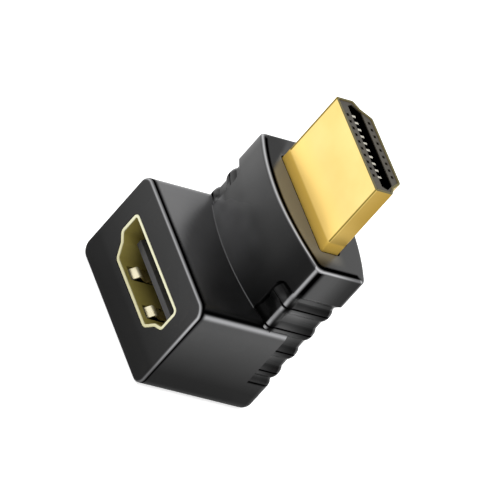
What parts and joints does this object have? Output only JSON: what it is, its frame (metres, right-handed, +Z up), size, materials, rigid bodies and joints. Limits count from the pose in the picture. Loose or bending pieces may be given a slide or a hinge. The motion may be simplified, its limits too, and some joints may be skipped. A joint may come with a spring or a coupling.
{
  "type": "right angle video adapter",
  "caption": "Right angle adapter that joins a flat multi-contact video plug to a matching socket, in a black moulded body with ribbed grip sides.",
  "frame": {"origin": "middle of the flat underside, at the centre of the adapter's width and depth", "axes": "+Z up along the plug, -Y out of the socket's mouth, +X across the adapter"},
  "size_m": [0.0206, 0.0176, 0.0326],
  "materials": {
    "body_plastic": "semi-gloss black moulding with soft edges",
    "inner_plastic": "natural inner moulding, hidden",
    "plug_plating": "satin gold plating",
    "plug_moulding": "dark grey brown moulding",
    "socket_plating": "pale gold plating",
    "socket_moulding": "dark grey moulding",
    "board_laminate": "green solder mask, hidden",
    "contact_plating": "bright gold plating"
  },
  "bodies": {
    "root": {"outer_body": "body_plastic", "inner_mould": "inner_plastic", "plug_shell": "plug_plating", "plug_insulator": "plug_moulding", "socket_shell": "socket_plating", "socket_insulator": "socket_moulding", "circuit_board": "board_laminate", "plug_contact_01": "contact_plating", "plug_contact_02": "contact_plating", "plug_contact_03": "contact_plating", "plug_contact_04": "contact_plating", "plug_contact_05": "contact_plating", "plug_contact_06": "contact_plating", "plug_contact_07": "contact_plating", "plug_contact_08": "contact_plating", "plug_contact_09": "contact_plating", "plug_contact_10": "contact_plating", "plug_contact_11": "contact_plating", "plug_contact_12": "contact_plating", "plug_contact_13": "contact_plating", "plug_contact_14": "contact_plating", "plug_contact_15": "contact_plating", "plug_contact_16": "contact_plating", "plug_contact_17": "contact_plating", "plug_contact_18": "contact_plating", "plug_contact_19": "contact_plating", "socket_contact_01": "contact_plating", "socket_contact_02": "contact_plating", "socket_contact_03": "contact_plating", "socket_contact_04": "contact_plating", "socket_contact_05": "contact_plating", "socket_contact_06": "contact_plating", "socket_contact_07": "contact_plating", "socket_contact_08": "contact_plating", "socket_contact_09": "contact_plating", "socket_contact_10": "contact_plating", "socket_contact_11": "contact_plating", "socket_contact_12": "contact_plating", "socket_contact_13": "contact_plating", "socket_contact_14": "contact_plating", "socket_contact_15": "contact_plating", "socket_contact_16": "contact_plating", "socket_contact_17": "contact_plating", "socket_contact_18": "contact_plating", "socket_contact_19": "contact_plating"}
  },
  "joints": []
}
